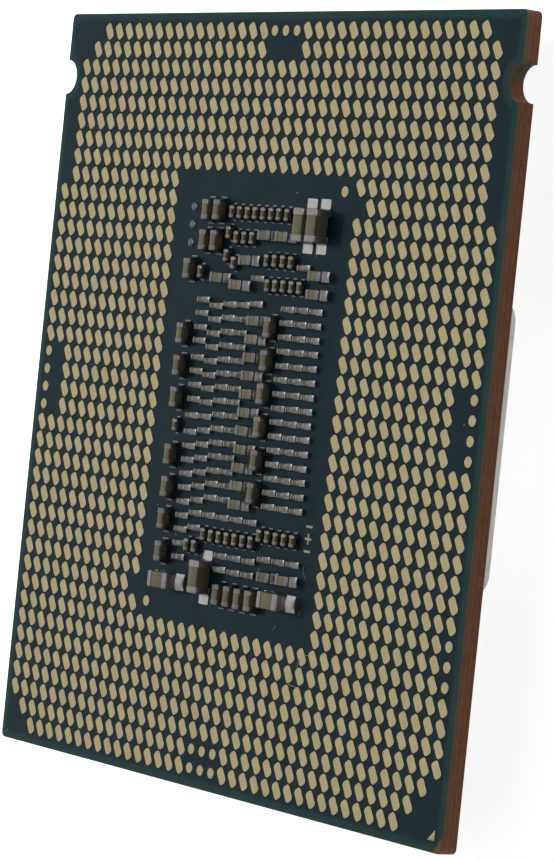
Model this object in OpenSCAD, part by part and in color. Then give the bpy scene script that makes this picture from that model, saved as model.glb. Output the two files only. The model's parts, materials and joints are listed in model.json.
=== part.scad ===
// Desktop processor package of the land grid kind.
// It lies on the flat face of its heat spreader, with the contact lands facing up.
// The origin is the middle of that flat face. Units are millimetres.

/* [Land array] */
// Spacing of the contact lands in both directions
land_pitch = 0.9144; // [0.88:0.001:1]
// Lands along each side of the full square
land_count = 40; // [40:1:44]
// From the outermost land centres to the edge of the substrate
land_margin = 0.92; // [0.85:0.01:1.3]
// Length of an oblong land
land_length = 0.85; // [0.7:0.01:0.9]
// Width of an oblong land
land_width = 0.55; // [0.4:0.01:0.62]
// Lean of an oblong land from the upright, with its upper end to the left
land_lean = 30; // [20:1:40]
// Diameter of a round land
round_land_d = 0.52; // [0.4:0.01:0.6]
// Plating height of the lands above the face
land_thick = 0.03; // [0.02:0.005:0.05]
// Leg of the gold corner triangle
corner_mark_leg = 0.5; // [0.4:0.05:0.7]
// From the substrate edges to the corner triangle
corner_mark_inset = 0.55; // [0.3:0.05:0.7]

/* [Substrate] */
// Thickness of the laminate board
substrate_thick = 0.87; // [0.6:0.01:1.2]
// Corner radius of the board
substrate_corner = 0.3; // [0.1:0.05:0.6]
// Radius of the two half-round key notches
notch_radius = 0.86; // [0.7:0.02:1.2]
// Key notch centres above the middle of the package
notch_y = 15.5; // [13:0.1:16.5]

/* [Heat spreader] */
// Height from the flat face of the heat spreader to the land face
package_height = 4.4; // [4:0.05:5]
// Plateau across the ears
plateau_x = 28.2; // [27:0.1:30]
// Plateau along the ears
plateau_y = 29; // [27:0.1:30]
// Corner radius of the plateau and of the foot
spreader_corner = 2; // [1:0.1:3]
// Width of the step from the plateau to the foot
foot_step = 1.3; // [0.8:0.1:1.5]
// Thickness of the foot and of the two ears
foot_thick = 1.1; // [0.9:0.05:1.5]
// Length of each ear along the edge
ear_length = 13.2; // [8:0.1:16]
// From the edge of the substrate to the end of an ear
ear_inset = 1.2; // [0.5:0.05:1.6]
// Corner radius at the end of an ear
ear_corner = 1; // [0.5:0.1:2]
// How far the ears lie off the middle, away from the key notches
ear_shift = 0.7; // [0:0.1:1.5]
// Width of the foot ring that is bonded to the board
foot_width = 3; // [2.5:0.1:4]

/* [Die stack] */
// Die across the ears
die_x = 9.2; // [7:0.1:12]
// Die along the ears
die_y = 13.6; // [10:0.1:18]
// Thickness of the die
die_thick = 0.5; // [0.4:0.05:0.8]
// Height of the solder bumps under the die
bump_height = 0.07; // [0.05:0.01:0.1]
// Diameter of a bump
bump_d = 0.1; // [0.08:0.01:0.14]
// Spacing of the bumps
bump_pitch = 0.8; // [0.6:0.05:1.2]
// From the outermost bumps to the edge of the die
bump_margin = 0.4; // [0.3:0.05:0.8]
// How far the underfill runs out past the die
underfill_run = 0.6; // [0.3:0.05:1]
// Thickness of the thermal interface between the die and the heat spreader
interface_thick = 0.15; // [0.1:0.01:0.3]
// How far the thermal interface runs out past the die
interface_run = 0.3; // [0.1:0.05:0.6]
// Thickness of the sealant under the foot
sealant_thick = 0.1; // [0.05:0.01:0.2]
// From the rims of the foot to the sealant bead
sealant_inset = 0.5; // [0.3:0.05:0.8]
// Length of the vent gap in the sealant
vent_gap = 2.4; // [1:0.1:4]

/* [Large capacitors] */
// Length over the metal ends
large_length = 1.6; // [1.4:0.05:1.8]
// Width
large_width = 0.8; // [0.6:0.05:0.95]
// Height over the metal ends
large_height = 0.8; // [0.5:0.05:1]
// How far each metal end wraps along the body
large_wrap = 0.32; // [0.2:0.02:0.45]
// How far the solder runs out past each end
large_run = 0.5; // [0.3:0.05:0.55]

/* [Medium capacitors] */
// Length over the metal ends
medium_length = 1; // [0.85:0.05:1.05]
// Width
medium_width = 0.5; // [0.4:0.05:0.6]
// Height over the metal ends
medium_height = 0.5; // [0.3:0.05:0.7]
// How far each metal end wraps along the body
medium_wrap = 0.24; // [0.15:0.01:0.3]
// How far the solder runs out past each end
medium_run = 0.16; // [0.1:0.01:0.18]

/* [Small capacitors] */
// Length over the metal ends
small_length = 0.6; // [0.5:0.05:0.7]
// Width
small_width = 0.3; // [0.2:0.02:0.4]
// Height over the metal ends
small_height = 0.3; // [0.2:0.02:0.45]
// How far each metal end wraps along the body
small_wrap = 0.16; // [0.1:0.01:0.2]
// How far the solder runs out past each end
small_run = 0.13; // [0.08:0.01:0.16]

/* [Solder] */
// Thickness of the metal ends around the body
plating = 0.02; // [0.01:0.005:0.03]
// Solder film under the metal ends
film = 0.03; // [0.02:0.005:0.05]
// Share of a capacitor's height that the solder climbs
climb = 0.45; // [0.3:0.05:0.7]
// Share of a capacitor's height that the slope of the solder runs out
slope = 0.2; // [0.1:0.02:0.25]
// Diameter of the three solder dots
dot_d = 0.46; // [0.3:0.02:0.6]
// Height of the three solder dots
dot_height = 0.12; // [0.08:0.01:0.18]

/* [Hidden] */
$fn = 64;

// Package outline and the heights of the stack, counted up from the resting face
land_span = (land_count - 1) * land_pitch;
package_side = land_span + 2 * land_margin;
land_face = package_height;
board_under = land_face - substrate_thick;
foot_face = board_under - sealant_thick;
foot_under = foot_face - foot_thick;
die_face = board_under - bump_height;
die_back = die_face - die_thick;
ceiling = die_back - interface_thick;
foot_x = plateau_x + 2 * foot_step;
foot_y = plateau_y + 2 * foot_step;
cavity_x = foot_x - 2 * foot_width;
cavity_y = foot_y - 2 * foot_width;
ear_span = package_side - 2 * ear_inset;
last = land_count - 1;
middle = land_count / 2;

// Land columns count from the left and rows from the top. The first and last lands of
// each row leave room for the corners and the key notches.
window_cols = 8;
window_rows = 12;
left_notch_rows = 8;
right_notch_rows = 9;
right_round_rows = [30, 32];
function first_col(r) =
    r == 0 ? 3 : r == 1 ? 2 : r <= left_notch_rows ? 1 : r == last ? 2 : r == last - 1 ? 1 : 0;
function last_col(r) =
    last - (r == 0 ? 2 : r <= right_notch_rows ? 1
        : r == last ? 3 : r == last - 1 ? 2 : r == last - 2 ? 1 : 0);
function in_window(c, r) =
    abs(c - middle + 0.5) < window_cols && abs(r - middle + 0.5) < window_rows;
function beside_middle(k, n) = abs(k - middle + 0.5) < n;

// Places inside the outer ring with no land, and places with a round one
function is_bare(c, r) =
    (beside_middle(r, 2) && (c == 1 || c == last - 1))
    || (r == 1 && c >= middle - 1 && c <= middle + 1)
    || (r == middle - window_rows + 1 && c == middle + window_cols)
    || (r == middle + window_rows - 2 && c == middle - window_cols - 1);
function is_round(c, r) =
    (beside_middle(r, 2) && (c == 0 || c == last))
    || (c == last && r >= right_round_rows[0] && r <= right_round_rows[1])
    || (r == 0 && c >= middle - 1 && c <= middle + 1)
    || (r >= last - 1 && c >= middle - 2 && c <= middle);
function land_place(c, r) =
    [c * land_pitch - land_span / 2, land_span / 2 - r * land_pitch];
LAND_SITES = [
    for (r = [0 : last])
        for (c = [first_col(r) : last_col(r)])
            if (!in_window(c, r) && !is_bare(c, r)) [c, r]
];
// Two round test lands stand by themselves in opposite corners of the window
TEST_LAND = [6.55, 10.3];

// Capacitor banks: first place, columns and rows, and the steps between them.
// Across means that the long side lies along X, upright that it lies along Y.
LARGE_ACROSS = [[[4.7, -9.1], [1, 1], [0, 0]], [[-4.65, -9.1], [1, 1], [0, 0]]];
LARGE_UPRIGHT = [[[4.07, 8.6], [2, 1], [1.08, 0]], [[-1.6, -8.6], [1, 1], [0, 0]]];
MEDIUM_ACROSS = [
    [[0.79, 3.92], [1, 11], [0, -0.88]],
    [[0.98, 8], [2, 1], [1.44, 0]],
    [[5.4, 6.27], [1, 2], [0, -0.87]],
    [[3.75, -8.06], [2, 1], [1.55, 0]],
    [[-0.42, 6.75], [1, 1], [0, 0]],
    [[-1, 5.57], [1, 1], [0, 0]],
    [[-2.7, 5.83], [1, 1], [0, 0]]
];
MEDIUM_UPRIGHT = [
    [[1.98, 3.68], [1, 6], [0, -1.584]],
    [[-5.35, 2.99], [1, 3], [0, -1.58]],
    [[-5.35, -2.97], [1, 4], [0, -1.58]],
    [[-0.05, -9.3], [4, 1], [0.9, 0]],
    [[-4.2, 9.1], [2, 2], [0.95, -1.5]],
    [[-5.33, 6.15], [1, 1], [0, 0]]
];
SMALL_ACROSS = [
    [[3.06, 4.61], [3, 15], [1.14, -0.67]],
    [[-1.78, 4.61], [2, 15], [1.14, -0.67]],
    [[-2.92, 4.48], [1, 15], [0, -0.675]],
    [[-4.06, 4.72], [1, 4], [0, -0.67]],
    [[-4.06, 1.9], [1, 4], [0, -0.68]],
    [[-4.06, -1.75], [1, 10], [0, -0.68]],
    [[-2.93, -5.62], [5, 1], [1.17, 0]],
    [[3.18, -7.25], [3, 1], [1.17, 0]],
    [[-0.43, -7.47], [3, 2], [1.17, -0.66]],
    [[-4.06, -0.95], [1, 1], [0, 0]],
    [[-2.92, -6.3], [1, 1], [0, 0]],
    [[0.45, 4.72], [1, 1], [0, 0]],
    [[0.35, 5.95], [1, 1], [0, 0]],
    [[3.99, 6.6], [1, 1], [0, 0]]
];
SMALL_UPRIGHT = [
    [[-2.24, 9.05], [8, 1], [0.66, 0]],
    [[-1.64, 7.85], [3, 1], [0.66, 0]],
    [[1.08, 6.84], [4, 1], [0.66, 0]],
    [[1.33, 5.66], [5, 1], [0.66, 0]],
    [[2.76, -6.17], [5, 1], [0.675, 0]],
    [[-1.93, -6.56], [7, 1], [0.67, 0]],
    [[-3.25, -7.2], [2, 1], [0.65, 0]],
    [[-2.34, 8.05], [1, 1], [0, 0]],
    [[-2.35, 6.95], [1, 1], [0, 0]],
    [[-1.7, 6.6], [1, 1], [0, 0]],
    [[-4.45, 6.05], [1, 1], [0, 0]],
    [[-5.28, -1.5], [1, 1], [0, 0]]
];
DOTS = [[-5.8, 9.2], [-5.8, 8.32], [-5.8, 7.44]];

LARGE = [large_length, large_width, large_height, large_wrap, large_run];
MEDIUM = [medium_length, medium_width, medium_height, medium_wrap, medium_run];
SMALL = [small_length, small_width, small_height, small_wrap, small_run];

// Lays the children out over the banks, turned a quarter for the upright ones
module over_banks(across, upright) {
    for (turn = [0, 1])
        for (bank = turn == 0 ? across : upright)
            for (i = [0 : bank[1][0] - 1], j = [0 : bank[1][1] - 1])
                translate([bank[0][0] + i * bank[2][0], bank[0][1] + j * bank[2][1], land_face])
                    rotate(90 * turn)
                        children();
}

// Rectangle with round corners, on the middle
module rounded_plate(x, y, r) {
    square([x - 2 * r, y], center = true);
    square([x, y - 2 * r], center = true);
    for (sx = [-1, 1], sy = [-1, 1])
        translate([sx * (x / 2 - r), sy * (y / 2 - r)])
            circle(r);
}

// Upright outline with half-round ends, on the middle
module obround(x, y) {
    square([x, y - x], center = true);
    for (end = [-1, 1])
        translate([0, end * (y - x) / 2])
            circle(d = x);
}

// Ceramic body of one capacitor, inside the metal ends and clear of the board
module capacitor_body(size) {
    inner = [size[0], size[1], size[2]] - 2 * plating * [1, 1, 1];
    translate([-inner[0] / 2, -inner[1] / 2, film + plating])
        cube(inner);
}

// The two metal ends of one capacitor, each a cup over the body
module capacitor_ends(size) {
    for (side = [0, 1])
        rotate(180 * side)
            difference() {
                translate([size[0] / 2 - size[3], -size[1] / 2, film])
                    cube([size[3], size[1], size[2]]);
                capacitor_body(size);
            }
}

// The two solder joints of one capacitor: a film below, run out past each end, and a slope up it
module capacitor_joints(size) {
    end = size[0] / 2;
    for (side = [0, 1])
        rotate(180 * side)
            rotate([90, 0, 0])
                linear_extrude(size[1], center = true)
                    polygon([
                        [end - size[3], 0], [end + size[4], 0], [end + size[4], film],
                        [end + slope * size[2], film], [end, film + climb * size[2]],
                        [end, film], [end - size[3], film]
                    ]);
}

module substrate() {
    color([0.14, 0.2, 0.23])
        translate([0, 0, board_under])
            difference() {
                linear_extrude(substrate_thick)
                    rounded_plate(package_side, package_side, substrate_corner);
                for (sx = [-1, 1])
                    translate([sx * package_side / 2, notch_y, -substrate_thick])
                        cylinder(h = 3 * substrate_thick, r = notch_radius);
            }
}

module oblong_lands() {
    color([0.7, 0.65, 0.5])
        for (site = LAND_SITES)
            if (!is_round(site[0], site[1]))
                translate(concat(land_place(site[0], site[1]), land_face))
                    rotate(land_lean)
                        linear_extrude(land_thick)
                            obround(land_width, land_length);
}

module round_lands() {
    color([0.7, 0.65, 0.5]) {
        for (site = LAND_SITES)
            if (is_round(site[0], site[1]))
                translate(concat(land_place(site[0], site[1]), land_face))
                    cylinder(h = land_thick, d = round_land_d);
        for (side = [-1, 1])
            translate(concat(side * TEST_LAND, land_face))
                cylinder(h = land_thick, d = round_land_d);
    }
}

module corner_mark() {
    corner = package_side / 2 - corner_mark_inset;
    color([0.7, 0.65, 0.5])
        translate([corner, -corner, land_face])
            linear_extrude(land_thick)
                polygon([[0, 0], [0, corner_mark_leg], [-corner_mark_leg, 0]]);
}

module large_capacitor_bodies() {
    color([0.5, 0.47, 0.38]) over_banks(LARGE_ACROSS, LARGE_UPRIGHT) capacitor_body(LARGE);
}

module large_capacitor_ends() {
    color([0.75, 0.74, 0.72]) over_banks(LARGE_ACROSS, LARGE_UPRIGHT) capacitor_ends(LARGE);
}

module large_solder_joints() {
    color([0.85, 0.85, 0.84]) over_banks(LARGE_ACROSS, LARGE_UPRIGHT) capacitor_joints(LARGE);
}

module medium_capacitor_bodies() {
    color([0.5, 0.47, 0.38]) over_banks(MEDIUM_ACROSS, MEDIUM_UPRIGHT) capacitor_body(MEDIUM);
}

module medium_capacitor_ends() {
    color([0.6, 0.57, 0.54]) over_banks(MEDIUM_ACROSS, MEDIUM_UPRIGHT) capacitor_ends(MEDIUM);
}

module medium_solder_joints() {
    color([0.7, 0.7, 0.68]) over_banks(MEDIUM_ACROSS, MEDIUM_UPRIGHT) capacitor_joints(MEDIUM);
}

module small_capacitor_bodies() {
    color([0.5, 0.47, 0.38]) over_banks(SMALL_ACROSS, SMALL_UPRIGHT) capacitor_body(SMALL);
}

module small_capacitor_ends() {
    color([0.6, 0.57, 0.54]) over_banks(SMALL_ACROSS, SMALL_UPRIGHT) capacitor_ends(SMALL);
}

module small_solder_joints() {
    color([0.7, 0.7, 0.68]) over_banks(SMALL_ACROSS, SMALL_UPRIGHT) capacitor_joints(SMALL);
}

// Low domes: the part of a ball above the face
module solder_dots() {
    ball = (dot_d * dot_d / 4 + dot_height * dot_height) / (2 * dot_height);
    color([0.75, 0.8, 0.85])
        for (place = DOTS)
            translate(concat(place, land_face))
                intersection() {
                    translate([0, 0, dot_height - ball])
                        sphere(ball);
                    cylinder(h = 2 * ball, r = 2 * ball);
                }
}

// Plateau below, foot with two ears above, and the cavity for the die
module heat_spreader() {
    color([0.66, 0.67, 0.68])
        difference() {
            union() {
                linear_extrude(foot_face)
                    rounded_plate(plateau_x, plateau_y, spreader_corner);
                translate([0, 0, foot_under])
                    linear_extrude(foot_thick) {
                        rounded_plate(foot_x, foot_y, spreader_corner);
                        translate([0, -ear_shift])
                            rounded_plate(ear_span, ear_length, ear_corner);
                    }
            }
            translate([0, 0, ceiling])
                linear_extrude(package_height)
                    rounded_plate(cavity_x, cavity_y, spreader_corner);
        }
}

// Bead between the foot and the board, open at the vent gap
module lid_sealant() {
    inset = 2 * sealant_inset;
    color([0.12, 0.12, 0.12])
        translate([0, 0, foot_face])
            linear_extrude(sealant_thick)
                difference() {
                    rounded_plate(foot_x - inset, foot_y - inset, spreader_corner);
                    rounded_plate(cavity_x + inset, cavity_y + inset, spreader_corner);
                    translate([-vent_gap / 2, -foot_y])
                        square([vent_gap, foot_y]);
                }
}

module die() {
    color([0.35, 0.36, 0.38])
        translate([-die_x / 2, -die_y / 2, die_back])
            cube([die_x, die_y, die_thick]);
}

// Whole steps that fit in a length, safe against rounding
function whole_steps(length, step, slack = 0.01) = floor(length / step + slack);

// Lays the children out over the bump field of the die
module over_bumps() {
    nx = whole_steps(die_x - 2 * bump_margin, bump_pitch);
    ny = whole_steps(die_y - 2 * bump_margin, bump_pitch);
    for (i = [0 : nx], j = [0 : ny])
        translate([(i - nx / 2) * bump_pitch, (j - ny / 2) * bump_pitch, die_face])
            children();
}

module die_bumps() {
    color([0.75, 0.75, 0.75])
        over_bumps()
            cylinder(h = bump_height, d = bump_d);
}

module underfill() {
    color([0.2, 0.2, 0.22])
        difference() {
            translate([-die_x / 2 - underfill_run, -die_y / 2 - underfill_run, die_face])
                cube([die_x + 2 * underfill_run, die_y + 2 * underfill_run, bump_height]);
            over_bumps()
                translate([0, 0, -bump_height])
                    cylinder(h = 3 * bump_height, d = bump_d);
        }
}

module thermal_interface() {
    color([0.7, 0.71, 0.72])
        translate([-die_x / 2 - interface_run, -die_y / 2 - interface_run, ceiling])
            cube([die_x + 2 * interface_run, die_y + 2 * interface_run, interface_thick]);
}

substrate();
oblong_lands();
round_lands();
corner_mark();
large_capacitor_bodies();
large_capacitor_ends();
large_solder_joints();
medium_capacitor_bodies();
medium_capacitor_ends();
medium_solder_joints();
small_capacitor_bodies();
small_capacitor_ends();
small_solder_joints();
solder_dots();
heat_spreader();
lid_sealant();
die();
die_bumps();
underfill();
thermal_interface();
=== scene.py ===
"""Looks of a desktop processor package that lies on its heat spreader, lands up.

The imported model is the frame. Every place here is read from it or from a few sizes in millimetres.
"""
from __future__ import annotations

import json
import logging
import math
import random
from collections.abc import Iterable
from dataclasses import dataclass
from enum import Enum

import bmesh
import bpy
from mathutils import Matrix, Vector

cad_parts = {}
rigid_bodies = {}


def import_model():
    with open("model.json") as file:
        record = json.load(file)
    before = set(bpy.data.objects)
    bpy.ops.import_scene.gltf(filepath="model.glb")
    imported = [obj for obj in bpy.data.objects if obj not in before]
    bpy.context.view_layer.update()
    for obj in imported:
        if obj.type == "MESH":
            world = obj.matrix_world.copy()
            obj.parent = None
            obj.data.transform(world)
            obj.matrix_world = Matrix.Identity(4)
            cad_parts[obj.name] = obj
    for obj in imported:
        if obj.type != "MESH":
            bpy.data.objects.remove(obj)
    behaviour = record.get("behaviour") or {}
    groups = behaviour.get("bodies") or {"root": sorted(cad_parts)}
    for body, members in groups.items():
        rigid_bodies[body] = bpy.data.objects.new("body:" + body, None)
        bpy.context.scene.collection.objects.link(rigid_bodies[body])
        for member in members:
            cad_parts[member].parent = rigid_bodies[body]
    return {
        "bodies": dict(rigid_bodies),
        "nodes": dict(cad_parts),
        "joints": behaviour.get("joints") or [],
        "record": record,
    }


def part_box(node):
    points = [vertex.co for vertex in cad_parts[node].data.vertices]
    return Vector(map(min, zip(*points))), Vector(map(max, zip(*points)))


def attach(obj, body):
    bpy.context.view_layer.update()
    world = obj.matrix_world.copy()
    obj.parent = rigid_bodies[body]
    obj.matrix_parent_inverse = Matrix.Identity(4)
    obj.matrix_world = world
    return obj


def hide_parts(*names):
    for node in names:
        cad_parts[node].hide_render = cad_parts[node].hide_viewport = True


LOG = logging.getLogger("processor")
MM = 0.001
TONE = "tone"
UNIT = (0.0, 1.0)
WHITE = (1.0, 1.0, 1.0)

BMesh = bmesh.types.BMesh
Material = bpy.types.Material
Node = bpy.types.Node
NodeTree = bpy.types.NodeTree
Socket = bpy.types.NodeSocket
Span = tuple[float, float]
Triple = tuple[float, float, float]
Colour = Triple
Feed = float | tuple[float, ...] | Socket


class Slot(Enum):
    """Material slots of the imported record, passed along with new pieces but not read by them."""

    BOARD = "board"
    GOLD = "gold"
    CERAMIC = "capacitor_ceramic"
    TIN = "tin_plate"
    SOLDER = "solder"
    NICKEL = "nickel_plate"


class Wiring:
    """Adds and links the nodes of one shader tree."""

    def __init__(self, tree: NodeTree) -> None:
        """Keep the tree that the nodes go into."""
        self.tree = tree

    def feed(self, socket: Socket, value: Feed) -> None:
        """Link a socket to another one, or set its constant.

        Args:
            socket: The input that is fed.
            value: An output socket, a number, a vector or a colour.
        """
        if isinstance(value, Socket):
            self.tree.links.new(value, socket)
        elif socket.type == "RGBA" and len(value) == 3:
            socket.default_value = (*value, 1.0)
        else:
            socket.default_value = value

    def add(self, kind: str, inputs: dict[int | str, Feed] | None = None, **settings: object) -> Node:
        """Add a node.

        Args:
            kind: Node type without its ShaderNode prefix.
            inputs: Values or sockets by input name or number.
            settings: Properties of the node itself.

        Returns:
            The new node.
        """
        node = self.tree.nodes.new("ShaderNode" + kind)
        for name, value in settings.items():
            setattr(node, name, value)
        for name, value in (inputs or {}).items():
            self.feed(node.inputs[name], value)
        return node

    def math(self, operation: str, first: Feed, second: Feed = 0.0, third: Feed = 0.0) -> Socket:
        """Add a Math node and return its value."""
        return self.add("Math", {0: first, 1: second, 2: third}, operation=operation).outputs[0]

    def blend(self, factor: Feed, low: Feed, high: Feed) -> Socket:
        """Blend two values, which a Mix node takes as its inputs 2 and 3."""
        return self.add("Mix", {0: factor, 2: low, 3: high}).outputs[0]

    def mix(self, factor: Feed, low: Feed, high: Feed) -> Socket:
        """Blend two colours, which a Mix node takes as its inputs 6 and 7."""
        return self.add("Mix", {0: factor, 6: low, 7: high}, data_type="RGBA").outputs[2]

    def scale_range(self, value: Feed, source: tuple[Feed, Feed], target: tuple[Feed, Feed],
                    smooth: bool = False) -> Socket:
        """Map a value from one range to another, clamped.

        Args:
            value: What is mapped.
            source: Start and end of the range that it comes from.
            target: What the start and the end become.
            smooth: Ease the two ends.

        Returns:
            The mapped value.
        """
        kind = "SMOOTHSTEP" if smooth else "LINEAR"
        ends = {0: value, 1: source[0], 2: source[1], 3: target[0], 4: target[1]}
        return self.add("MapRange", ends, interpolation_type=kind).outputs[0]

    def scaled(self, vector: Feed, factor: Feed) -> Socket:
        """Multiply a vector or a colour by one value."""
        return self.add("VectorMath", {0: vector, "Scale": factor}, operation="SCALE").outputs[0]

    def millimetres(self) -> Socket:
        """Object coordinates in millimetres."""
        return self.scaled(self.add("TexCoord").outputs["Object"], 1.0 / MM)

    def axes(self, vector: Feed) -> list[Socket]:
        """Split a vector into X, Y and Z."""
        return self.add("SeparateXYZ", {0: vector}).outputs[:]

    def stretch(self, place: Feed, scale: Triple) -> Socket:
        """Stretch a pattern's coordinates by axis."""
        return self.add("Mapping", {"Vector": place, "Scale": scale}).outputs[0]

    def noise(self, place: Feed, scale: Feed, detail: float) -> Socket:
        """Plain noise over a place, from 0 to 1."""
        return self.add("TexNoise", {"Vector": place, "Scale": scale, "Detail": detail}).outputs[0]


class EffectGroups:
    """Shader node groups that several finishes share, each built once."""

    CLOUD_DETAIL = 4.0
    CLOUD_SPAN = (0.3, 0.7)
    COARSE_DETAIL = 3.0
    FINE_DETAIL = 1.0
    FINE_RATE = 4.3
    FINE_SHARE = 0.35
    RARITY = 6.0

    def __init__(self) -> None:
        """Build every group."""
        self.mottle = self._mottle()
        self.grain = self._grain()
        self.dust = self._dust()

    @staticmethod
    def _new(name: str, values: tuple[str, ...], output: str) -> tuple[Wiring, dict[str, Socket], Socket]:
        """Start a group that reads a place and some values.

        Args:
            name: Name of the group.
            values: Names of the inputs that follow the place.
            output: Name of its one value output.

        Returns:
            Its wiring, its inputs by name and the socket that takes its result.
        """
        tree = bpy.data.node_groups.new(name, "ShaderNodeTree")
        tree.interface.new_socket("Vector", in_out="INPUT", socket_type="NodeSocketVector")
        for label in values:
            tree.interface.new_socket(label, in_out="INPUT", socket_type="NodeSocketFloat")
        tree.interface.new_socket(output, in_out="OUTPUT", socket_type="NodeSocketFloat")
        start, end = tree.nodes.new("NodeGroupInput"), tree.nodes.new("NodeGroupOutput")
        given = {label: start.outputs[label] for label in ("Vector", *values)}
        return Wiring(tree), given, end.inputs[0]

    def _mottle(self) -> NodeTree:
        """Build soft cloudy variation between two levels.

        Returns:
            The group.
        """
        wires, given, result = self._new("mottle", ("Scale", "Low", "High"), "Value")
        cloud = wires.noise(given["Vector"], given["Scale"], self.CLOUD_DETAIL)
        levels = (given["Low"], given["High"])
        wires.feed(result, wires.scale_range(cloud, self.CLOUD_SPAN, levels))
        return wires.tree

    def _grain(self) -> NodeTree:
        """Build the height of a grain, a coarse and a fine one together.

        Returns:
            The group.
        """
        wires, given, result = self._new("grain", ("Scale",), "Height")
        coarse = wires.noise(given["Vector"], given["Scale"], self.COARSE_DETAIL)
        fine_scale = wires.math("MULTIPLY", given["Scale"], self.FINE_RATE)
        fine = wires.noise(given["Vector"], fine_scale, self.FINE_DETAIL)
        wires.feed(result, wires.math("MULTIPLY_ADD", fine, self.FINE_SHARE, coarse))
        return wires.tree

    def _dust(self) -> NodeTree:
        """Build the mask of scattered specks, of which few are large.

        Returns:
            The group.
        """
        wires, given, result = self._new("dust", ("Scale", "Reach"), "Mask")
        cells = wires.add("TexVoronoi", {"Vector": given["Vector"], "Scale": given["Scale"]})
        chance = wires.add("SeparateColor", {0: cells.outputs["Color"]}).outputs[0]
        reach = wires.math("MULTIPLY", wires.math("POWER", chance, self.RARITY), given["Reach"])
        wires.feed(result, wires.math("LESS_THAN", cells.outputs["Distance"], reach))
        return wires.tree


@dataclass(frozen=True)
class Palette:
    """Starts materials and wires the shared effects into them."""

    effects: EffectGroups

    @staticmethod
    def start(name: str) -> tuple[Material, Wiring, Node]:
        """Start a material with one Principled shader.

        Args:
            name: Name of the material.

        Returns:
            The material, its wiring and its shader node.
        """
        material = bpy.data.materials.new(name)
        material.use_nodes = True
        return material, Wiring(material.node_tree), material.node_tree.nodes["Principled BSDF"]

    def mottle(self, wires: Wiring, place: Feed, scale: float, span: Span) -> Socket:
        """Cloudy values within a span, at a scale per millimetre."""
        inputs = {"Vector": place, "Scale": scale, "Low": span[0], "High": span[1]}
        return wires.add("Group", inputs, node_tree=self.effects.mottle).outputs[0]

    def dust(self, wires: Wiring, place: Feed, scale: float, reach: float) -> Socket:
        """Mask of specks, at a scale per millimetre."""
        inputs = {"Vector": place, "Scale": scale, "Reach": reach}
        return wires.add("Group", inputs, node_tree=self.effects.dust).outputs[0]

    def grain(self, wires: Wiring, place: Feed, scale: float) -> Socket:
        """Height of a fine grain, at a scale per millimetre."""
        inputs = {"Vector": place, "Scale": scale}
        return wires.add("Group", inputs, node_tree=self.effects.grain).outputs[0]


@dataclass(frozen=True)
class Polish:
    """How a finish throws light back. The grain's depth is in millimetres."""

    rough: Span
    rough_scale: float
    specular: float
    grain_scale: float
    grain_depth: float
    metal: float = 0.0

    def apply(self, palette: Palette, wires: Wiring, shader: Node, place: Feed, along: Feed) -> None:
        """Give a shader its roughness, its highlight, its share of metal and its grain.

        Args:
            palette: The shared effects.
            wires: Wiring of the material.
            shader: Its Principled node.
            place: Coordinates of the roughness in millimetres.
            along: Coordinates of the grain in millimetres.
        """
        rough = palette.mottle(wires, place, self.rough_scale, self.rough)
        wires.feed(shader.inputs["Roughness"], rough)
        shader.inputs["Metallic"].default_value = self.metal
        shader.inputs["Specular IOR Level"].default_value = self.specular
        height = palette.grain(wires, along, self.grain_scale)
        depth = self.grain_depth * MM
        bump = wires.add("Bump", {"Height": height, "Strength": 1.0, "Distance": depth})
        wires.feed(shader.inputs["Normal"], bump.outputs[0])


@dataclass(frozen=True)
class BoardOutline:
    """Places on the board that its finishes follow, in millimetres."""

    half: float
    notch_y: float
    notch_radius: float
    bare_across: float = 0.6
    bare_along: float = 0.8
    blur: float = 0.08
    fade: float = 0.35

    def from_notch(self, wires: Wiring, place: Feed) -> Socket:
        """Measure how far a place lies from the wall of the nearer key notch.

        Args:
            wires: Wiring of the material.
            place: Coordinates in millimetres.

        Returns:
            The distance.
        """
        across, along, _ = wires.axes(place)
        aside = wires.math("SUBTRACT", wires.math("ABSOLUTE", across), self.half)
        above = wires.math("SUBTRACT", along, self.notch_y)
        squares = wires.math("ADD", wires.math("POWER", aside, 2.0), wires.math("POWER", above, 2.0))
        return wires.math("SUBTRACT", wires.math("SQRT", squares), self.notch_radius)

    def inwards(self, wires: Wiring, place: Feed) -> Socket:
        """Measure how far a place lies from the nearest edge, the notches included.

        Args:
            wires: Wiring of the material.
            place: Coordinates in millimetres.

        Returns:
            The distance.
        """
        across, along, _ = wires.axes(place)
        reach = wires.math("MAXIMUM", wires.math("ABSOLUTE", across), wires.math("ABSOLUTE", along))
        edge = wires.math("SUBTRACT", self.half, reach)
        return wires.math("MINIMUM", edge, self.from_notch(wires, place))

    def bare_corner(self, wires: Wiring, place: Feed) -> Socket:
        """Mask the small triangle at the marked corner, where the lacquer stops short.

        Args:
            wires: Wiring of the material.
            place: Coordinates in millimetres.

        Returns:
            The mask.
        """
        across, along, _ = wires.axes(place)
        from_side = wires.math("DIVIDE", wires.math("SUBTRACT", self.half, across), self.bare_across)
        from_end = wires.math("DIVIDE", wires.math("ADD", self.half, along), self.bare_along)
        depth = wires.math("ADD", from_side, from_end)
        return wires.scale_range(depth, (1.0 + self.blur, 1.0 - self.blur), UNIT)

    def upper_notch(self, wires: Wiring, place: Feed) -> Socket:
        """Mask the upper half of the notches' walls, fading out downwards, where painted shade darkens them.

        Args:
            wires: Wiring of the material.
            place: Coordinates in millimetres.

        Returns:
            The mask.
        """
        gap = self.from_notch(wires, place)
        near = wires.scale_range(gap, (2.0 * self.blur, self.blur), UNIT)
        ends = (self.notch_y - self.fade, self.notch_y + self.fade)
        upper = wires.scale_range(wires.axes(place)[1], ends, UNIT, smooth=True)
        return wires.math("MULTIPLY", near, upper)


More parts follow.
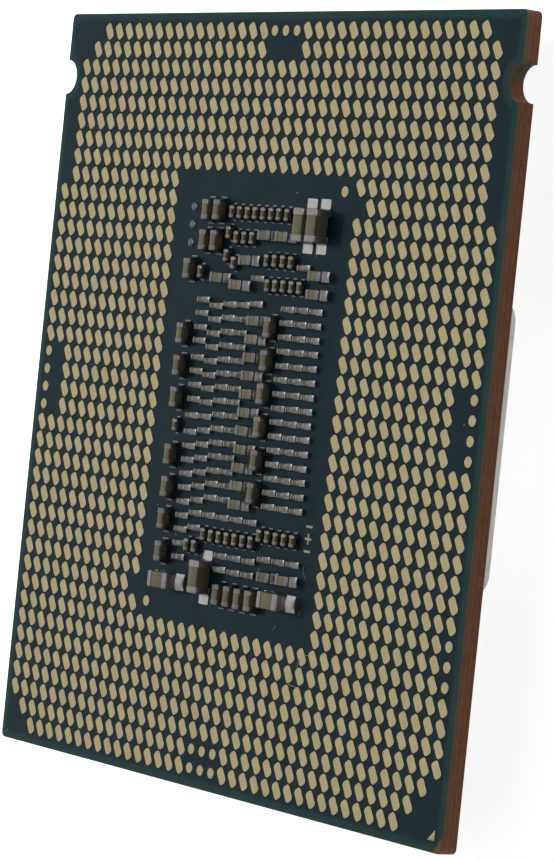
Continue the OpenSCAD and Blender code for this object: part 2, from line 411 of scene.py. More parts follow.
@dataclass(frozen=True)
class LacquerFinish:
    """Dark lacquer of the board's faces, greener along the rim where no copper lies under it.

    Widths are in millimetres, and scales are per millimetre.
    """

    outline: BoardOutline
    face: Colour = (0.0042, 0.0142, 0.0189)
    rim: Colour = (0.0085, 0.033, 0.032)
    bare: Colour = (0.108, 0.053, 0.0235)
    speck: Colour = (0.2, 0.21, 0.21)
    rim_width: float = 0.52
    rim_full: float = 0.45
    lip_width: float = 0.05
    lip_share: float = 0.8
    drift: Span = (0.88, 1.14)
    drift_scale: float = 0.7
    speck_scale: float = 1.1
    speck_reach: float = 0.075
    speck_share: float = 0.5
    polish: Polish = Polish(rough=(0.4, 0.48), rough_scale=1.6, specular=0.08, grain_scale=9.0,
                            grain_depth=0.004)

    def build(self, palette: Palette) -> Material:
        """Make the material.

        Args:
            palette: The shared effects.

        Returns:
            The material.
        """
        material, wires, shader = palette.start("board_lacquer")
        place = wires.millimetres()
        inwards = self.outline.inwards(wires, place)
        rim_ends = (self.rim_width, self.rim_full * self.rim_width)
        rim = wires.scale_range(inwards, rim_ends, UNIT, smooth=True)
        lip = wires.scale_range(inwards, (self.lip_width, 0.0), (0.0, self.lip_share))
        colour = wires.mix(rim, self.face, self.rim)
        colour = wires.mix(lip, colour, self.bare)
        colour = wires.mix(self.outline.bare_corner(wires, place), colour, self.bare)
        colour = wires.scaled(colour, palette.mottle(wires, place, self.drift_scale, self.drift))
        dust = palette.dust(wires, place, self.speck_scale, self.speck_reach)
        specks = wires.math("MULTIPLY", dust, self.speck_share)
        wires.feed(shader.inputs["Base Color"], wires.mix(specks, colour, self.speck))
        self.polish.apply(palette, wires, shader, place, place)
        return material


@dataclass(frozen=True)
class LaminateFinish:
    """Brown cut edge of the board: layers of glass cloth, with lacquer run over its upper rim, and painted
    shade darkening the upper half of the notch walls.

    The face's height and the smear's depth are in millimetres, and scales are per millimetre.
    """

    outline: BoardOutline
    face: float
    dark: Colour = (0.15, 0.058, 0.027)
    light: Colour = (0.19, 0.077, 0.037)
    smear: Colour = (0.09, 0.092, 0.066)
    # Painted shade: the colour that the upper half of the notch walls takes, as if in shadow.
    notch_shade: Colour = (0.08, 0.072, 0.032)
    layer_rate: float = 7.0
    layer_wander: float = 1.2
    layer_detail: float = 2.0
    layer_detail_scale: float = 3.0
    fibre_stretch: Triple = (1.0, 1.0, 4.0)
    drift: Span = (0.82, 1.2)
    drift_scale: float = 3.0
    smear_depth: float = 0.15
    smear_scale: float = 4.0
    smear_span: Span = (0.6, 1.4)
    smear_blur: float = 0.3
    polish: Polish = Polish(rough=(0.6, 0.8), rough_scale=2.0, specular=0.25, grain_scale=6.0,
                            grain_depth=0.012)

    def build(self, palette: Palette) -> Material:
        """Make the material.

        Args:
            palette: The shared effects.

        Returns:
            The material.
        """
        material, wires, shader = palette.start("laminate_edge")
        place = wires.millimetres()
        weave = {"Vector": place, "Scale": self.layer_rate / math.tau, "Distortion": self.layer_wander,
                 "Detail": self.layer_detail, "Detail Scale": self.layer_detail_scale}
        layers = wires.add("TexWave", weave, bands_direction="Z").outputs[1]
        colour = wires.mix(layers, self.dark, self.light)
        # Painted shade: the upper half of each notch wall is darkened towards the notch shade colour.
        colour = wires.mix(self.outline.upper_notch(wires, place), colour, self.notch_shade)
        fibres = wires.stretch(place, self.fibre_stretch)
        colour = wires.scaled(colour, palette.mottle(wires, fibres, self.drift_scale, self.drift))
        colour = wires.mix(self._smear(palette, wires, place), colour, self.smear)
        wires.feed(shader.inputs["Base Color"], colour)
        self.polish.apply(palette, wires, shader, place, fibres)
        return material

    def _smear(self, palette: Palette, wires: Wiring, place: Feed) -> Socket:
        """Mask the lacquer over the upper rim, with a ragged edge and none at the bare corner.

        Args:
            palette: The shared effects.
            wires: Wiring of the material.
            place: Coordinates in millimetres.

        Returns:
            The mask.
        """
        height = wires.axes(place)[2]
        low, high = (share * self.smear_depth for share in self.smear_span)
        ragged = palette.mottle(wires, place, self.smear_scale, (low, high))
        depth = wires.math("SUBTRACT", wires.math("SUBTRACT", self.face, height), ragged)
        blur = self.smear_blur * self.smear_depth
        run = wires.scale_range(depth, (blur, -blur), UNIT)
        covered = wires.math("SUBTRACT", 1.0, self.outline.bare_corner(wires, place))
        return wires.math("MULTIPLY", run, covered)


@dataclass(frozen=True)
class SurfaceFinish:
    """A finish with one colour that drifts a little, and a fine grain."""

    name: str
    colour: Colour
    rough: Span
    drift: Span
    drift_scale: float
    grain_scale: float
    grain_depth: float
    metal: float = 0.0
    specular: float = 0.5
    stretch: Triple = (1.0, 1.0, 1.0)
    toned: bool = False
    rough_rate: float = 1.7

    def build(self, palette: Palette) -> Material:
        """Make the material.

        Args:
            palette: The shared effects.

        Returns:
            The material.
        """
        material, wires, shader = palette.start(self.name)
        place = wires.stretch(wires.millimetres(), self.stretch)
        shade = palette.mottle(wires, place, self.drift_scale, self.drift)
        if self.toned:
            tone = wires.add("Attribute", attribute_name=TONE).outputs["Fac"]
            shade = wires.math("MULTIPLY", shade, tone)
        wires.feed(shader.inputs["Base Color"], wires.scaled(self.colour, shade))
        polish = Polish(self.rough, self.rough_rate * self.drift_scale, self.specular, self.grain_scale,
                        self.grain_depth, self.metal)
        polish.apply(palette, wires, shader, place, place)
        return material


GOLD = SurfaceFinish(
    "matt_gold", colour=(0.422, 0.356, 0.198), metal=0.8, rough=(0.42, 0.5),
    drift=(0.95, 1.05), drift_scale=2.4, grain_scale=16.0, grain_depth=0.003, toned=True)
CERAMIC = SurfaceFinish(
    "fired_ceramic", colour=(0.1, 0.093, 0.058), specular=0.25, rough=(0.5, 0.62),
    drift=(0.85, 1.15), drift_scale=6.0, grain_scale=30.0, grain_depth=0.004, toned=True)
TIN = SurfaceFinish(
    "tin_ends", colour=(0.235, 0.228, 0.22), metal=0.85, rough=(0.3, 0.42),
    drift=(0.86, 1.12), drift_scale=7.0, grain_scale=24.0, grain_depth=0.005, toned=True)
SOLDER = SurfaceFinish(
    "bright_solder", colour=(0.43, 0.42, 0.425), metal=1.0, rough=(0.28, 0.38),
    drift=(0.9, 1.08), drift_scale=5.0, grain_scale=9.0, grain_depth=0.002, toned=True)
DOTS = SurfaceFinish(
    "dot_solder", colour=(0.115, 0.134, 0.16), metal=1.0, rough=(0.3, 0.4),
    drift=(0.92, 1.06), drift_scale=5.0, grain_scale=8.0, grain_depth=0.004)
NICKEL = SurfaceFinish(
    "satin_nickel", colour=(0.34, 0.335, 0.32), metal=1.0, rough=(0.17, 0.27), stretch=(1.0, 9.0, 1.0),
    drift=(0.93, 1.06), drift_scale=0.5, grain_scale=5.0, grain_depth=0.0015)
STAMPED = SurfaceFinish(
    "stamped_rim", colour=(0.4, 0.393, 0.37), metal=1.0, rough=(0.4, 0.55), stretch=(1.0, 1.0, 5.0),
    drift=(0.85, 1.12), drift_scale=1.5, grain_scale=7.0, grain_depth=0.004)
SEALANT = SurfaceFinish(
    "black_sealant", colour=(0.012, 0.012, 0.013), specular=0.4, rough=(0.6, 0.75),
    drift=(0.8, 1.2), drift_scale=1.5, grain_scale=6.0, grain_depth=0.01)
SILICON = SurfaceFinish(
    "polished_silicon", colour=(0.1, 0.1, 0.115), metal=0.6, rough=(0.08, 0.16),
    drift=(0.95, 1.05), drift_scale=0.4, grain_scale=2.0, grain_depth=0.0005)
BUMPS = SurfaceFinish(
    "bump_solder", colour=(0.5, 0.5, 0.5), metal=1.0, rough=(0.25, 0.4),
    drift=(0.9, 1.1), drift_scale=12.0, grain_scale=30.0, grain_depth=0.002)
UNDERFILL = SurfaceFinish(
    "cured_resin", colour=(0.028, 0.028, 0.033), rough=(0.4, 0.55),
    drift=(0.85, 1.15), drift_scale=1.4, grain_scale=8.0, grain_depth=0.006)
PASTE = SurfaceFinish(
    "grey_paste", colour=(0.38, 0.38, 0.39), specular=0.3, rough=(0.6, 0.75),
    drift=(0.88, 1.1), drift_scale=1.5, grain_scale=9.0, grain_depth=0.01)
PRINT = SurfaceFinish(
    "pale_print", colour=(0.27, 0.255, 0.2), specular=0.3, rough=(0.6, 0.75),
    drift=(0.75, 1.1), drift_scale=6.0, grain_scale=20.0, grain_depth=0.004)
LINT = SurfaceFinish(
    "grey_lint", colour=(0.22, 0.22, 0.225), specular=0.2, rough=(0.8, 0.9),
    drift=(0.8, 1.2), drift_scale=3.0, grain_scale=20.0, grain_depth=0.002)


@dataclass(frozen=True)
class Island:
    """Box of one loose solid of a node, in millimetres."""

    low: Vector
    high: Vector

    @property
    def centre(self) -> Vector:
        """Middle of the box."""
        return (self.low + self.high) / 2

    @property
    def foot(self) -> Vector:
        """Middle of the box's underside."""
        return Vector((self.centre.x, self.centre.y, self.low.z))

    @property
    def size(self) -> Vector:
        """Extents of the box."""
        return self.high - self.low


class Frame:
    """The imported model, read in millimetres."""

    MERGE = 0.0002
    FLAT = math.radians(0.5)
    SORT_DIGITS = 3

    def __init__(self, loaded: dict) -> None:
        """Keep the loaded frame."""
        self.nodes: dict[str, bpy.types.Object] = loaded["nodes"]

    def joined(self, node: str) -> BMesh:
        """Copy a node's mesh in millimetres with its loose triangles joined.

        Args:
            node: Name of the node.

        Returns:
            The copy.
        """
        bm = bmesh.new()
        bm.from_mesh(self.nodes[node].data)
        bmesh.ops.scale(bm, vec=Vector((1, 1, 1)) / MM, verts=bm.verts[:])
        bmesh.ops.remove_doubles(bm, verts=bm.verts[:], dist=self.MERGE)
        return bm

    def plain(self, node: str) -> BMesh:
        """Copy a node's mesh with its flat faces whole, ready for bevels.

        Args:
            node: Name of the node.

        Returns:
            The copy.
        """
        bm = self.joined(node)
        bmesh.ops.dissolve_limit(bm, angle_limit=self.FLAT, verts=bm.verts[:], edges=bm.edges[:])
        return bm

    def islands(self, node: str) -> list[Island]:
        """Find the boxes of a node's separate solids.

        Args:
            node: Name of the node.

        Returns:
            The boxes, from the top row down and from the left.
        """
        bm = self.joined(node)
        waiting = set(bm.verts)
        found = []
        while waiting:
            reached = [waiting.pop()]
            points = []
            while reached:
                vert = reached.pop()
                points.append(vert.co)
                for edge in vert.link_edges:
                    other = edge.other_vert(vert)
                    if other in waiting:
                        waiting.remove(other)
                        reached.append(other)
            low = Vector(min(p[axis] for p in points) for axis in range(3))
            high = Vector(max(p[axis] for p in points) for axis in range(3))
            found.append(Island(low, high))
        bm.free()
        return sorted(found, key=self._reading_order)

    @classmethod
    def _reading_order(cls, island: Island) -> Span:
        """Sort key of an island: rows from the top, then from the left."""
        return -round(island.centre.y, cls.SORT_DIGITS), round(island.centre.x, cls.SORT_DIGITS)

    @staticmethod
    def box(node: str) -> Island:
        """Box of a whole node."""
        low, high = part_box(node)
        return Island(low / MM, high / MM)

    def dress(self, node: str, material: Material) -> None:
        """Give a node that keeps its own mesh a finish.

        Args:
            node: Name of the node.
            material: Its finish.
        """
        slots = self.nodes[node].data.materials
        slots.clear()
        slots.append(material)
        LOG.info("%s: kept, dressed in %s", node, material.name)


class Bench:
    """Small mesh operations and the hand-over of finished pieces, all in millimetres."""

    LEVEL = 0.002
    STEEP = math.radians(40)

    @staticmethod
    def block(low: Iterable[float], high: Iterable[float]) -> BMesh:
        """Make a box.

        Args:
            low: Its lower corner.
            high: Its upper corner.

        Returns:
            The box.
        """
        low, high = Vector(low), Vector(high)
        bm = bmesh.new()
        bmesh.ops.create_cube(bm, size=1.0)
        bmesh.ops.scale(bm, vec=high - low, verts=bm.verts[:])
        bmesh.ops.translate(bm, vec=(low + high) / 2, verts=bm.verts[:])
        return bm

    @staticmethod
    def bevel(bm: BMesh, edges: list[bmesh.types.BMEdge], offset: float, segments: int) -> None:
        """Round edges with a true arc."""
        bmesh.ops.bevel(bm, geom=edges, offset=offset, offset_type="OFFSET", segments=segments,
                        profile=0.5, affect="EDGES", material=-1, clamp_overlap=True)

    @classmethod
    def level_edges(cls, bm: BMesh, height: float) -> list[bmesh.types.BMEdge]:
        """Find the edges of a sharp rim that lies at one height.

        Args:
            bm: The mesh.
            height: Height of the rim.

        Returns:
            The edges.
        """
        return [e for e in bm.edges
                if all(abs(v.co.z - height) < cls.LEVEL for v in e.verts)
                and e.is_manifold and e.calc_face_angle() > cls.STEEP]

    @staticmethod
    def thicken(sheet: BMesh, by: Vector) -> None:
        """Give a flat sheet a thickness and turn its faces outwards.

        Args:
            sheet: The sheet.
            by: Way from its face to the new one.
        """
        grown = bmesh.ops.extrude_face_region(sheet, geom=sheet.faces[:])["geom"]
        moved = [v for v in grown if isinstance(v, bmesh.types.BMVert)]
        bmesh.ops.translate(sheet, vec=by, verts=moved)
        bmesh.ops.recalc_face_normals(sheet, faces=sheet.faces[:])

    @staticmethod
    def mesh(bm: BMesh, name: str) -> bpy.types.Mesh:
        """Turn a bmesh into a mesh.

        Args:
            bm: The bmesh, freed here.
            name: Name of the mesh.

        Returns:
            The mesh.
        """
        mesh = bpy.data.meshes.new(name)
        bm.to_mesh(mesh)
        bm.free()
        return mesh

    @classmethod
    def join(cls, shape: BMesh, target: BMesh) -> None:
        """Add a shape to a larger one.

        Args:
            shape: What is added, freed here.
            target: Where it goes.
        """
        mesh = cls.mesh(shape, "shape")
        target.from_mesh(mesh)
        bpy.data.meshes.remove(mesh)

    @staticmethod
    def show(name: str, data: bpy.types.ID) -> bpy.types.Object:
        """Put an object in the scene.

        Args:
            name: Name of the object.
            data: Its mesh, lamp or camera.

        Returns:
            The object.
        """
        shown = bpy.data.objects.new(name, data)
        bpy.context.scene.collection.objects.link(shown)
        return shown

    @staticmethod
    def smooth(mesh: bpy.types.Mesh, angle: float) -> None:
        """Shade a mesh smooth up to an angle in degrees."""
        mesh.polygons.foreach_set("use_smooth", [True] * len(mesh.polygons))
        mesh.set_sharp_from_angle(angle=math.radians(angle))

    @classmethod
    def piece(cls, bm: BMesh, name: str, materials: list[Material], slot: Slot,
              replaced: tuple[str, ...] = (), angle: float = 50.0) -> None:
        """Turn a finished bmesh into a piece that rides on the package.

        Args:
            bm: The mesh in millimetres, freed here.
            name: Name of the piece.
            materials: Materials in the order of the faces' indices.
            slot: Record slot of its main finish; not used.
            replaced: Nodes that it stands for.
            angle: Edges sharper than this stay sharp, in degrees.
        """
        bmesh.ops.scale(bm, vec=Vector((MM, MM, MM)), verts=bm.verts[:])
        mesh = cls.mesh(bm, name)
        cls.smooth(mesh, angle)
        for material in materials:
            mesh.materials.append(material)
        piece = cls.show(name, mesh)
        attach(piece, "root")
        if replaced:
            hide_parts(*replaced)
        LOG.info("%s: %d faces", name, len(mesh.polygons))


class Stamp:
    """A small shape that is laid down many times, each time with a tone of its own."""

    def __init__(self, shape: BMesh, target: BMesh | None = None) -> None:
        """Keep the shape.

        Args:
            shape: What is laid down, freed here.
            target: Where it goes, if another stamp has begun it.
        """
        self.mesh = Bench.mesh(shape, "stamp")
        self.mesh.attributes.new(TONE, "FLOAT", "POINT")
        self.target = target or bmesh.new()

    def press(self, place: Matrix, tone: float) -> None:
        """Lay the shape down once.

        Args:
            place: Where it goes.
            tone: Its brightness beside its neighbours.
        """
        tones = self.mesh.attributes[TONE].data
        tones.foreach_set("value", [tone] * len(tones))
        self.mesh.transform(place)
        self.target.from_mesh(self.mesh)
        self.mesh.transform(place.inverted())

    def lift(self) -> BMesh:
        """Give the laid shapes back and drop the template."""
        bpy.data.meshes.remove(self.mesh)
        return self.target


@dataclass
class Board:
    """The laminate board with its lacquered faces, in millimetres and degrees."""

    edge_round: float = 0.035
    edge_segments: int = 2
    flat: float = 0.9
    crease: float = 25.0

    def build(self, frame: Frame, lacquer: Material, laminate: Material) -> None:
        """Copy the board with softened rims, its faces lacquered and its edges bare.

        Args:
            frame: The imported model.
            lacquer: Finish of the faces.
            laminate: Finish of the edges.
        """
        bm = frame.plain("substrate")
        box = frame.box("substrate")
        for height in (box.low.z, box.high.z):
            Bench.bevel(bm, Bench.level_edges(bm, height), self.edge_round, self.edge_segments)
        for face in bm.faces:
            face.material_index = 0 if abs(face.normal.z) > self.flat else 1
        materials = [lacquer, laminate]
        Bench.piece(bm, "laminate_board", materials, Slot.BOARD, ("substrate",), self.crease)


@dataclass
class LandField:
    """Gold contact lands and the corner triangle, in millimetres and degrees."""

    length: float = 0.828
    width: float = 0.523
    corner: float = 0.177
    corner_segments: int = 4
    lean: float = 31.0
    rim_round: float = 0.012
    rim_segments: int = 1
    crease: float = 30.0
    tone_spread: float = 0.035
    seed: int = 11

    def _shape(self, thick: float) -> BMesh:
        """Make one leaning land with round corners and a soft rim.

        Args:
            thick: Height above the face.

        Returns:
            The land on the middle of its foot.
        """
        half = Vector((self.width / 2, self.length / 2, 0))
        bm = Bench.block(-half, half + Vector((0, 0, thick)))
        upright = [e for e in bm.edges if abs(e.verts[0].co.z - e.verts[1].co.z) > thick / 2]
        Bench.bevel(bm, upright, self.corner, self.corner_segments)
        Bench.bevel(bm, Bench.level_edges(bm, thick), self.rim_round, self.rim_segments)
        turn = Matrix.Rotation(math.radians(self.lean), 3, "Z")
        bmesh.ops.rotate(bm, matrix=turn, verts=bm.verts[:])
        return bm

    def build(self, frame: Frame, gold: Material) -> None:
        """Lay the oblong lands and soften the round ones and the triangle.

        Args:
            frame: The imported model.
            gold: Finish of all of them.
        """
        draw = random.Random(self.seed)
        places = frame.islands("oblong_lands")
        stamp = Stamp(self._shape(places[0].size.z))
        for island in places:
            tone = 1 + draw.uniform(-1, 1) * self.tone_spread
            stamp.press(Matrix.Translation(island.foot), tone)
        Bench.piece(stamp.lift(), "oblong_contacts", [gold], Slot.GOLD, ("oblong_lands",), self.crease)
        for node, name in (("round_lands", "round_contacts"), ("corner_mark", "corner_triangle")):
            bm = frame.plain(node)
            rim = Bench.level_edges(bm, frame.box(node).high.z)
            Bench.bevel(bm, rim, self.rim_round, self.rim_segments)
            tones = bm.verts.layers.float.new(TONE)
            for vert in bm.verts:
                vert[tones] = 1.0
            Bench.piece(bm, name, [gold], Slot.GOLD, (node,), self.crease)


@dataclass(frozen=True)
class Wick:
    """How solder stands at an end: the shares of the height it climbs and of the run its slope takes."""

    climb: float
    slope: float
    hollow: float = 1.8


@dataclass(frozen=True)
class Seat:
    """Place of one capacitor, its brightness and whether its long side lies along Y."""

    place: Matrix
    tone: float
    upright: bool


@dataclass
class CapacitorFamily:
    """Ceramic capacitors of one size: bodies, metal ends and solder joints.

    Sizes are in millimetres and turns in degrees. Tones are shares of a finish's brightness; the end and
    joint shade factors are painted shade, darker copies of the same tin and solder on the smaller sizes.
    """

    family: str
    length: float
    width: float
    height: float
    wrap: float
    run: float
    soft: float
    segments: int
    seed: int
    # Painted shade: below 1 these darken the family's ends and joints, copies of the same tin and solder.
    end_shade_factor: float
    joint_shade_factor: float
    across: Wick
    upright: Wick
    plating: float = 0.02
    film: float = 0.03
    facing: float = 0.9
    toe_round: float = 0.05
    toe_segments: int = 2
    turn_spread: float = 1.3
    shift_spread: float = 0.014
    tone_spread: float = 0.13
    curve_points: int = 5
    crown: float = 0.1
    crown_cuts: int = 3

    def _body(self) -> BMesh:
        """Make the ceramic body along X.

        Returns:
            The body above the middle of its foot.
        """
        half = Vector((self.length / 2 - self.plating, self.width / 2 - self.plating, 0))
        foot = Vector((0, 0, self.film + self.plating))
        top = Vector((0, 0, self.film + self.height - self.plating))
        bm = Bench.block(foot - half, top + half)
        Bench.bevel(bm, bm.edges[:], self.soft, self.segments)
        return bm

    def _end(self) -> BMesh:
        """Make the metal end at +X, a cup over the body with its mouth inwards.

        Returns:
            The end.
        """
        mouth = self.length / 2 - self.wrap
        low = (mouth, -self.width / 2, self.film)
        bm = Bench.block(low, (self.length / 2, self.width / 2, self.film + self.height))
        edges = [e for e in bm.edges if max(v.co.x for v in e.verts) > mouth + self.plating]
        Bench.bevel(bm, edges, self.soft + self.plating, self.segments)
        lip = [f for f in bm.faces if f.normal.x < -self.facing]
        bmesh.ops.inset_region(bm, faces=lip, thickness=self.plating, use_even_offset=True)
        pushed = bmesh.ops.extrude_discrete_faces(bm, faces=lip)["faces"]
        depth = Vector((self.wrap - self.plating, 0, 0))
        bmesh.ops.translate(bm, vec=depth, verts=[v for f in pushed for v in f.verts])
        return bm

    def _joint(self, wick: Wick) -> BMesh:
        """Make the solder at +X: a film that runs out from under the end and a hollow slope up to it.

        Args:
            wick: How the solder stands there.

        Returns:
            The joint.
        """
        end = self.length / 2
        outline = [(end - self.wrap, 0.0), (end + self.run, 0.0), (end + self.run, self.film)]
        for step in range(self.curve_points + 1):
            share = step / self.curve_points
            rise = wick.climb * self.height * share ** wick.hollow
            outline.append((end + wick.slope * self.run * (1 - share), self.film + rise))
        outline += [(end, self.film), (end - self.wrap, self.film)]
        bm = bmesh.new()
        bm.faces.new([bm.verts.new((x, -self.width / 2, z)) for x, z in outline])
        Bench.thicken(bm, Vector((0, self.width, 0)))
        toe = [e for e in bm.edges if all(v.co.x > end + self.run - self.plating / 2 for v in e.verts)
               and abs(e.verts[0].co.z - e.verts[1].co.z) > self.film / 2]
        Bench.bevel(bm, toe, self.toe_round, self.toe_segments)
        self._crown(bm)
        return bm

    def _crown(self, bm: BMesh) -> None:
        """Bulge the open surface of a joint across its width.

        Args:
            bm: The joint.
        """
        level = [e for e in bm.edges if abs(e.verts[0].co.y - e.verts[1].co.y) > self.width / 2]
        bmesh.ops.subdivide_edges(bm, edges=level, cuts=self.crown_cuts, use_grid_fill=True)
        for vert in bm.verts:
            if vert.co.x > self.length / 2 and vert.co.z > self.film / 2:
                share = 1 - (2 * vert.co.y / self.width) ** 2
                vert.co.z += self.crown * self.width * max(share, 0.0)

    def _seats(self, frame: Frame) -> list[Seat]:
        """Find the seat of each capacitor, a little out of true as they float on their solder.

        Args:
            frame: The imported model.

        Returns:
            The seats.
        """
        draw = random.Random(self.seed)
        found = []
        for island in frame.islands(f"{self.family}_capacitor_bodies"):
            upright = island.size.y > island.size.x
            turn = math.radians((90.0 if upright else 0.0) + draw.uniform(-1, 1) * self.turn_spread)
            foot = island.low.z - self.film - self.plating
            shift = Vector((draw.uniform(-1, 1), draw.uniform(-1, 1), 0)) * self.shift_spread
            spot = Vector((island.centre.x, island.centre.y, foot)) + shift
            tone = 1 + draw.uniform(-1, 1) * self.tone_spread
            place = Matrix.Translation(spot) @ Matrix.Rotation(turn, 4, "Z")
            found.append(Seat(place, tone, upright))
        return found

    def build(self, frame: Frame, ceramic: Material, tin: Material, solder: Material) -> None:
        """Lay down every capacitor of the family as three pieces.

        Args:
            frame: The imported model.
            ceramic: Finish of the bodies.
            tin: Finish of the ends.
            solder: Finish of the joints.
        """
        halves = (Matrix.Identity(4), Matrix.Rotation(math.pi, 4, "Z"))
        body, end = Stamp(self._body()), Stamp(self._end())
        joints_across = Stamp(self._joint(self.across))
        joints_upright = Stamp(self._joint(self.upright), joints_across.target)
        for seat in self._seats(frame):
            body.press(seat.place, seat.tone)
            joint = joints_upright if seat.upright else joints_across
            for half in halves:
                # Each end and joint carries the family's painted shade times its random tone.
                end.press(seat.place @ half, self.end_shade_factor * (1 + seat.tone) / 2)
                joint.press(seat.place @ half, self.joint_shade_factor * (1 + seat.tone) / 2)
        joints_upright.lift()
        for stamp, piece, node, material, slot in (
                (body, "ceramic_blocks", "capacitor_bodies", ceramic, Slot.CERAMIC),
                (end, "tinned_ends", "capacitor_ends", tin, Slot.TIN),
                (joints_across, "solder_fillets", "solder_joints", solder, Slot.SOLDER)):
            name, replaced = f"{self.family}_{piece}", f"{self.family}_{node}"
            Bench.piece(stamp.lift(), name, [material], slot, (replaced,))


# End and joint factors below 1 are painted shade on the medium and small sizes.
CAPACITORS = (
    CapacitorFamily(
        "large", length=1.6, width=0.8, height=0.8, wrap=0.32, run=0.5, soft=0.05, segments=3, seed=21,
        end_shade_factor=1.0, joint_shade_factor=1.0,
        across=Wick(climb=0.2, slope=0.9, hollow=1.5), upright=Wick(climb=0.1, slope=0.2)),
    CapacitorFamily(
        "medium", length=1.0, width=0.5, height=0.5, wrap=0.24, run=0.16, soft=0.04, segments=2, seed=22,
        end_shade_factor=0.65, joint_shade_factor=0.45,
        across=Wick(climb=0.7, slope=0.95, hollow=1.5), upright=Wick(climb=0.55, slope=0.9)),
    CapacitorFamily(
        "small", length=0.6, width=0.3, height=0.3, wrap=0.16, run=0.13, soft=0.03, segments=1, seed=23,
        end_shade_factor=0.95, joint_shade_factor=0.5,
        across=Wick(climb=0.85, slope=1.0, hollow=1.4), upright=Wick(climb=0.55, slope=0.9)),
)


@dataclass
class SolderDots:
    """Three low solder domes in the corner of the window."""

    rings: int = 10
    segments: int = 24

    def _dome(self, size: Vector) -> BMesh:
        """Make the upper half of a flattened ball, closed below.

        Args:
            size: Extents of the dome.

        Returns:
            The dome on the middle of its foot.
        """
        bm = bmesh.new()
        bmesh.ops.create_uvsphere(bm, u_segments=self.segments, v_segments=2 * self.rings, radius=1.0)
        bmesh.ops.scale(bm, vec=Vector((size.x / 2, size.x / 2, size.z)), verts=bm.verts[:])
        whole = bm.verts[:] + bm.edges[:] + bm.faces[:]
        cut = bmesh.ops.bisect_plane(bm, geom=whole, plane_co=(0, 0, 0), plane_no=(0, 0, 1), clear_inner=True)
        rim = [e for e in cut["geom_cut"] if isinstance(e, bmesh.types.BMEdge)]
        bmesh.ops.edgeloop_fill(bm, edges=rim)
        return bm

    def build(self, frame: Frame, finish: Material) -> None:
        """Make a smooth dome over each dot.

        Args:
            frame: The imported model.
            finish: Finish of the domes.
        """
        target = bmesh.new()
        for island in frame.islands("solder_dots"):
            dome = self._dome(island.size)
            bmesh.ops.translate(dome, vec=island.foot, verts=dome.verts[:])
            Bench.join(dome, target)
        bmesh.ops.recalc_face_normals(target, faces=target.faces[:])
        Bench.piece(target, "solder_domes", [finish], Slot.SOLDER, ("solder_dots",))


@dataclass
class Lid:
    """Nickel-plated heat spreader and the sealant under its foot, in millimetres and degrees."""

    plateau_round: float = 0.4
    plateau_segments: int = 4
    foot_round: float = 0.18
    foot_segments: int = 2
    upright: float = 0.3
    crease: float = 35.0

    def build(self, frame: Frame, nickel: Material, stamped: Material, sealant: Material) -> None:
        """Copy the heat spreader with its coined rims and a duller stamped flange, and dress the bead.

        Args:
            frame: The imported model.
            nickel: Finish of the heat spreader.
            stamped: Finish of the flange's sheared edge.
            sealant: Finish of the bead.
        """
        bm = frame.plain("heat_spreader")
        box = frame.box("heat_spreader")
        plateau = Bench.level_edges(bm, box.low.z)
        Bench.bevel(bm, plateau, self.plateau_round, self.plateau_segments)
        outside = frame.box("lid_sealant").high.x
        foot = [e for e in Bench.level_edges(bm, box.high.z)
                if max(max(abs(v.co.x), abs(v.co.y)) for v in e.verts) > outside]
        Bench.bevel(bm, foot, self.foot_round, self.foot_segments)
        brim = box.high.z - 2 * self.foot_round
        for face in bm.faces:
            sheared = abs(face.normal.z) < self.upright and max(v.co.z for v in face.verts) > brim
            face.material_index = 1 if sheared else 0
        materials = [nickel, stamped]
        Bench.piece(bm, "plated_spreader", materials, Slot.NICKEL, ("heat_spreader",), self.crease)
        frame.dress("lid_sealant", sealant)


@dataclass
class IndexMarks:
    """Pale printed marks beside the window: a plus between two short bars."""

    centre: Span = (6.42, -5.95)
    spread: float = 0.58
    arm: float = 0.5
    stroke: float = 0.11
    cells: int = 3
    ink: float = 0.006
    crease: float = 30.0

    def _sign(self, crossed: bool) -> BMesh:
        """Make one flat sign, ready to be given its height.

        Args:
            crossed: Make a plus instead of a bar.

        Returns:
            The sign as a flat sheet around the origin.
        """
        bm = bmesh.new()
        bmesh.ops.create_grid(bm, x_segments=self.cells, y_segments=self.cells, size=self.arm / 2)
        for axis in range(2):
            inner = [v for v in bm.verts if abs(v.co[axis]) < self.arm / 4]
            narrow = Vector((1, 1, 1))
            narrow[axis] = self.cells * self.stroke / self.arm
            bmesh.ops.scale(bm, vec=narrow, verts=inner)
        half = self.stroke / 2
        spare = [f for f in bm.faces if abs(f.calc_center_median().y) > half
                 and (not crossed or abs(f.calc_center_median().x) > half)]
        bmesh.ops.delete(bm, geom=spare, context="FACES")
        return bm

    def build(self, frame: Frame, ink: Material) -> None:
        """Print the three signs in a column on the lacquer.

        Args:
            frame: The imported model.
            ink: Finish of the signs.
        """
        target = bmesh.new()
        face = frame.box("substrate").high.z
        for step, crossed in ((-1, False), (0, True), (1, False)):
            sign = self._sign(crossed)
            Bench.thicken(sign, Vector((0, 0, self.ink)))
            spot = Vector((*self.centre, face)) + Vector((0, step * self.spread, 0))
            bmesh.ops.translate(sign, vec=spot, verts=sign.verts[:])
            Bench.join(sign, target)
        Bench.piece(target, "index_marks", [ink], Slot.BOARD, angle=self.crease)


@dataclass(frozen=True)
class Fibre:
    """One thread of lint: where it starts, its heading, its length and how far it bends, in degrees."""

    x: float
    y: float
    heading: float
    length: float
    bend: float
    on_lands: bool = False


